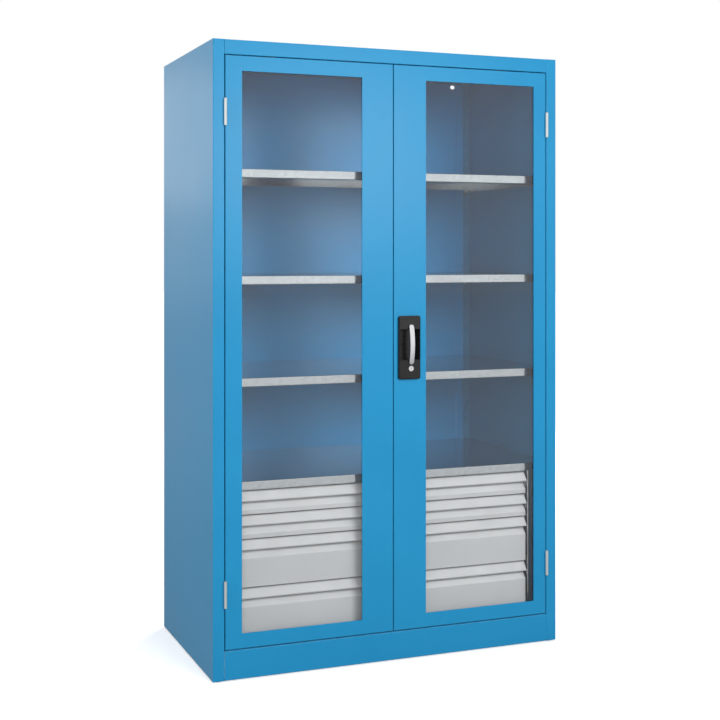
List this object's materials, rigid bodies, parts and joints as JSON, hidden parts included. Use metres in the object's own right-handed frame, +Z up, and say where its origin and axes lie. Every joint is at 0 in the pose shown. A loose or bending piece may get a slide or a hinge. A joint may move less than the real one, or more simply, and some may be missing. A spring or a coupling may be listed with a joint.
{
  "type": "storage cabinet",
  "caption": "Tall steel cabinet with two hinged window doors, a recessed bow handle with key lock, adjustable shelves and full-width drawers on telescopic runners.",
  "frame": {"origin": "middle of the footprint (body plus the reach of the handle), on the floor under the levelling feet", "axes": "+X to the right along the front, +Y from the doors to the back, +Z up"},
  "size_m": [1.186, 0.673, 1.95],
  "materials": {
    "body_paint": "light blue powder coat, fine texture",
    "zinc_sheet": "galvanised sheet",
    "drawer_paint": "light grey powder coat",
    "clear_pane": "clear, slightly tinted",
    "black_plastic": "moulded, fine grain",
    "bow_metal": "satin",
    "lock_metal": "polished",
    "plain_steel": "zinc plated",
    "black_rubber": "matt"
  },
  "bodies": {
    "cabinet": {"left_side_panel": "body_paint", "right_side_panel": "body_paint", "back_panel": "body_paint", "roof_panel": "body_paint", "floor_panel": "body_paint", "front_plinth": "body_paint", "rear_plinth": "body_paint", "rod_keepers": "plain_steel", "levelling_feet": "black_plastic", "foot_brackets": "plain_steel", "upper_shelf": "zinc_sheet", "middle_shelf": "zinc_sheet", "lower_shelf": "zinc_sheet", "shelf_clips": "zinc_sheet", "drawer_unit_cover": "zinc_sheet", "drawer_unit_left_wall": "zinc_sheet", "drawer_unit_right_wall": "zinc_sheet", "drawer_unit_rear_panel": "zinc_sheet", "fixed_runners": "zinc_sheet", "door_stops": "plain_steel", "door_buffers": "black_rubber", "hinge_frame_halves": "plain_steel", "hinge_pins": "plain_steel"},
    "right_door": {"right_door_panel": "body_paint", "right_door_pane": "clear_pane", "right_door_seal": "black_rubber", "right_door_glazing_strips": "body_paint", "right_door_inner_cover": "body_paint", "right_door_hinges": "plain_steel", "handle_plate": "black_plastic", "bow_handle": "bow_metal", "lock_case": "plain_steel", "rod_guides": "black_plastic"},
    "left_door": {"left_door_panel": "body_paint", "left_door_pane": "clear_pane", "left_door_seal": "black_rubber", "left_door_glazing_strips": "body_paint", "left_door_inner_cover": "body_paint", "left_door_hinges": "plain_steel", "astragal_strip": "body_paint"},
    "lock": {"lock_plug": "lock_metal", "lock_cam": "plain_steel"},
    "upper_rod": {"upper_rod": "plain_steel"},
    "lower_rod": {"lower_rod": "plain_steel"},
    "drawer_1_slides": {"drawer_1_middle_runners": "zinc_sheet"},
    "drawer_1": {"drawer_1_front": "drawer_paint", "drawer_1_tray": "drawer_paint", "drawer_1_channels": "zinc_sheet"},
    "drawer_2_slides": {"drawer_2_middle_runners": "zinc_sheet"},
    "drawer_2": {"drawer_2_front": "drawer_paint", "drawer_2_tray": "drawer_paint", "drawer_2_channels": "zinc_sheet"},
    "drawer_3_slides": {"drawer_3_middle_runners": "zinc_sheet"},
    "drawer_3": {"drawer_3_front": "drawer_paint", "drawer_3_tray": "drawer_paint", "drawer_3_channels": "zinc_sheet"},
    "drawer_4_slides": {"drawer_4_middle_runners": "zinc_sheet"},
    "drawer_4": {"drawer_4_front": "drawer_paint", "drawer_4_tray": "drawer_paint", "drawer_4_channels": "zinc_sheet"}
  },
  "joints": [
    {"name": "right_door_hinge", "type": "hinge", "parent": "cabinet", "child": "right_door", "pos_m": [0.5555, -0.314, 1], "axis": [0, 0, 1], "range_deg": [0, 180]},
    {"name": "left_door_hinge", "type": "hinge", "parent": "cabinet", "child": "left_door", "pos_m": [-0.5555, -0.314, 1], "axis": [0, 0, -1], "range_deg": [0, 180]},
    {"name": "lock_turn", "type": "hinge", "parent": "right_door", "child": "lock", "pos_m": [0.05655, -0.3085, 0.9315], "axis": [0, -1, 0], "range_deg": [0, 90]},
    {"name": "upper_rod_slide", "type": "slide", "parent": "right_door", "child": "upper_rod", "axis": [0, 0, 1], "range_m": [0, 0.01696]},
    {"name": "lower_rod_slide", "type": "slide", "parent": "right_door", "child": "lower_rod", "axis": [0, 0, -1], "range_m": [0, 0.017]},
    {"name": "drawer_1_runner_slide", "type": "slide", "parent": "cabinet", "child": "drawer_1_slides", "axis": [0, -1, 0], "range_m": [0, 0.25]},
    {"name": "drawer_1_slide", "type": "slide", "parent": "drawer_1_slides", "child": "drawer_1", "axis": [0, -1, 0], "range_m": [0, 0.25]},
    {"name": "drawer_2_runner_slide", "type": "slide", "parent": "cabinet", "child": "drawer_2_slides", "axis": [0, -1, 0], "range_m": [0, 0.25]},
    {"name": "drawer_2_slide", "type": "slide", "parent": "drawer_2_slides", "child": "drawer_2", "axis": [0, -1, 0], "range_m": [0, 0.25]},
    {"name": "drawer_3_runner_slide", "type": "slide", "parent": "cabinet", "child": "drawer_3_slides", "axis": [0, -1, 0], "range_m": [0, 0.25]},
    {"name": "drawer_3_slide", "type": "slide", "parent": "drawer_3_slides", "child": "drawer_3", "axis": [0, -1, 0], "range_m": [0, 0.25]},
    {"name": "drawer_4_runner_slide", "type": "slide", "parent": "cabinet", "child": "drawer_4_slides", "axis": [0, -1, 0], "range_m": [0, 0.25]},
    {"name": "drawer_4_slide", "type": "slide", "parent": "drawer_4_slides", "child": "drawer_4", "axis": [0, -1, 0], "range_m": [0, 0.25]}
  ],
  "couplings": [
    {"joint": "left_door_hinge", "follows": "right_door_hinge", "ratio": 0.95},
    {"joint": "lock_turn", "follows": "upper_rod_slide", "rad_per_m": 92.6},
    {"joint": "lower_rod_slide", "follows": "upper_rod_slide", "ratio": 1},
    {"joint": "drawer_1_runner_slide", "follows": "right_door_hinge", "m_per_rad": 0.0309},
    {"joint": "drawer_1_slide", "follows": "right_door_hinge", "m_per_rad": 0.0309},
    {"joint": "drawer_2_runner_slide", "follows": "right_door_hinge", "m_per_rad": 0.0309},
    {"joint": "drawer_2_slide", "follows": "right_door_hinge", "m_per_rad": 0.0309},
    {"joint": "drawer_3_runner_slide", "follows": "right_door_hinge", "m_per_rad": 0.0309},
    {"joint": "drawer_3_slide", "follows": "right_door_hinge", "m_per_rad": 0.0309},
    {"joint": "drawer_4_runner_slide", "follows": "right_door_hinge", "m_per_rad": 0.0309},
    {"joint": "drawer_4_slide", "follows": "right_door_hinge", "m_per_rad": 0.0309}
  ]
}
